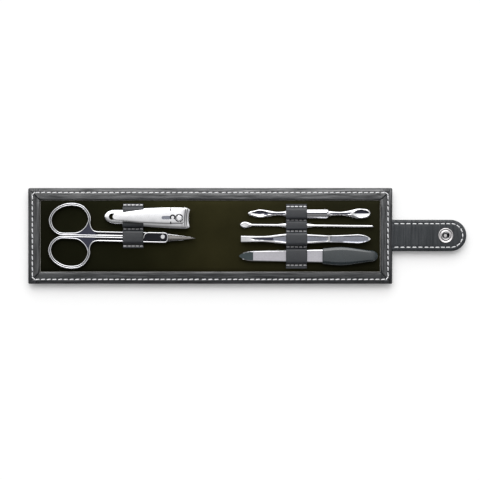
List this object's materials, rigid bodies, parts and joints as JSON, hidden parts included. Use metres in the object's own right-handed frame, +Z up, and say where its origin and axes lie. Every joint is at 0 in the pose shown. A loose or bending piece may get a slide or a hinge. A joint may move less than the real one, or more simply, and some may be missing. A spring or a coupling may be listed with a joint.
{
  "type": "manicure set case",
  "caption": "Folding leatherette manicure case with a snap strap, open flat, holding scissors, nail clipper, cuticle pusher, ear pick, tweezers and nail file in loops.",
  "frame": {"origin": "centre of the spine on the outside face of the cover, case lying open", "axes": "+X along the open case towards the snap strap, +Y across it towards the clipper and pusher, +Z up out of the lining"},
  "size_m": [0.2679, 0.0586, 0.0142],
  "materials": {
    "leatherette": "grained slate-grey leatherette",
    "loop_leather": "smooth slate-grey leatherette",
    "stiffener": "grey pressed fibre board",
    "foam": "thin padding",
    "velvet": "near-black olive velvet",
    "thread": "off-white waxed thread",
    "snap_metal": "bright nickel plate",
    "spring_steel": "spring wire",
    "polished_steel": "polished steel",
    "clipper_chrome": "mirror chrome",
    "file_steel": "satin steel",
    "file_abrasive": "fine pale abrasive",
    "handle_plastic": "dark grey moulded plastic"
  },
  "bodies": {
    "right_panel": {"right_cover": "leatherette", "right_board": "stiffener", "right_foam": "foam", "right_lining": "velvet", "right_edge_stitching": "thread", "right_loop_strip": "loop_leather", "right_loop_stitching": "thread", "strap_root": "leatherette"},
    "spine": {"spine_cover": "leatherette", "spine_board": "stiffener", "spine_foam": "foam", "spine_lining": "velvet", "spine_stitching": "thread"},
    "left_panel": {"left_cover": "leatherette", "left_board": "stiffener", "left_foam": "foam", "left_lining": "velvet", "left_edge_stitching": "thread", "clipper_loop": "loop_leather", "scissor_loop": "loop_leather", "left_loop_stitching": "thread", "snap_stud": "snap_metal", "snap_post": "snap_metal"},
    "strap_riser": {"riser_outer_leather": "leatherette", "riser_core": "stiffener", "riser_inner_leather": "leatherette", "riser_stitching": "thread"},
    "strap_tab": {"tab_outer_leather": "leatherette", "tab_core": "stiffener", "tab_inner_leather": "leatherette", "tab_stitching": "thread", "snap_socket": "snap_metal", "snap_spring": "spring_steel", "snap_cap": "snap_metal"},
    "scissors_base": {"scissor_base_half": "polished_steel", "scissor_screw": "polished_steel"},
    "scissors_top": {"scissor_top_half": "polished_steel"},
    "clipper_base": {"clipper_lower_jaw": "clipper_chrome", "clipper_rivet": "clipper_chrome"},
    "clipper_spring_jaw": {"clipper_upper_jaw": "clipper_chrome"},
    "clipper_swivel": {"clipper_post": "clipper_chrome"},
    "clipper_thumb_lever": {"clipper_lever": "clipper_chrome", "clipper_lever_pin": "clipper_chrome"},
    "pusher": {"cuticle_pusher": "polished_steel"},
    "pick": {"ear_pick": "polished_steel"},
    "tweezers": {"tweezers_tail": "polished_steel"},
    "tweezers_upper": {"tweezers_upper_arm": "polished_steel"},
    "tweezers_lower": {"tweezers_lower_arm": "polished_steel"},
    "nail_file": {"file_blade": "file_steel", "file_grit": "file_abrasive", "file_handle": "handle_plastic"}
  },
  "joints": [
    {"name": "right_fold", "type": "hinge", "parent": "right_panel", "child": "spine", "pos_m": [0.0061, 0, 0.004], "axis": [0, -1, 0], "range_deg": [-90, 0]},
    {"name": "left_fold", "type": "hinge", "parent": "spine", "child": "left_panel", "pos_m": [-0.0061, 0, 0.004], "axis": [0, -1, 0], "range_deg": [-90, 0]},
    {"name": "strap_riser_fold", "type": "hinge", "parent": "right_panel", "child": "strap_riser", "pos_m": [0.1118, 0.0003, 0.0028], "axis": [0, 1, 0], "range_deg": [-90, 0]},
    {"name": "strap_tab_fold", "type": "hinge", "parent": "strap_riser", "child": "strap_tab", "pos_m": [0.13035, 0.0003, 0.0028], "axis": [0, 1, 0], "range_deg": [-90, 0]},
    {"name": "scissors_slide", "type": "slide", "parent": "left_panel", "child": "scissors_base", "axis": [-0.9998, 0.0201, 0], "range_m": [0, 0.046]},
    {"name": "scissors_open", "type": "hinge", "parent": "scissors_base", "child": "scissors_top", "pos_m": [-0.0288, -0.00049, 0.0057], "axis": [0, 0, 1], "range_deg": [0, 16], "deforming": ["scissor_loop"]},
    {"name": "clipper_slide", "type": "slide", "parent": "left_panel", "child": "clipper_base", "axis": [0.9997, -0.023, 0], "range_m": [0, 0.025]},
    {"name": "jaw_squeeze", "type": "hinge", "parent": "clipper_base", "child": "clipper_spring_jaw", "pos_m": [-0.0546, 0.01168, 0.00545], "axis": [0.023, 0.9997, 0], "range_deg": [0, 1.7], "stiffness_Nm_per_rad": 0.5},
    {"name": "lever_swivel", "type": "hinge", "parent": "clipper_base", "child": "clipper_swivel", "pos_m": [-0.01871, 0.01085, 0.0042], "axis": [0, 0, 1], "range_deg": [0, 180]},
    {"name": "lever_tilt", "type": "hinge", "parent": "clipper_swivel", "child": "clipper_thumb_lever", "pos_m": [-0.01871, 0.01085, 0.011], "axis": [-0.0128, 0.9999, 0], "range_deg": [0, 18]},
    {"name": "pusher_slide", "type": "slide", "parent": "right_panel", "child": "pusher", "axis": [1, 0, 0], "range_m": [0, 0.0366]},
    {"name": "pick_slide", "type": "slide", "parent": "right_panel", "child": "pick", "axis": [0.9999, -0.0111, 0], "range_m": [0, 0.0414]},
    {"name": "tweezers_slide", "type": "slide", "parent": "right_panel", "child": "tweezers", "axis": [1, 0, 0], "range_m": [0, 0.0408]},
    {"name": "upper_arm_squeeze", "type": "hinge", "parent": "tweezers", "child": "tweezers_upper", "pos_m": [0.0719, -0.0018, 0.0067], "axis": [0, -1, 0], "range_deg": [0, 1.45], "stiffness_Nm_per_rad": 0.4},
    {"name": "lower_arm_squeeze", "type": "hinge", "parent": "tweezers", "child": "tweezers_lower", "pos_m": [0.0719, -0.0018, 0.0067], "axis": [0, 1, 0], "range_deg": [0, 1.45], "stiffness_Nm_per_rad": 0.4},
    {"name": "file_slide", "type": "slide", "parent": "right_panel", "child": "nail_file", "axis": [1, 0, 0], "range_m": [0, 0.042]}
  ],
  "couplings": [
    {"joint": "left_fold", "follows": "right_fold", "ratio": 1},
    {"joint": "lower_arm_squeeze", "follows": "upper_arm_squeeze", "ratio": 1}
  ]
}
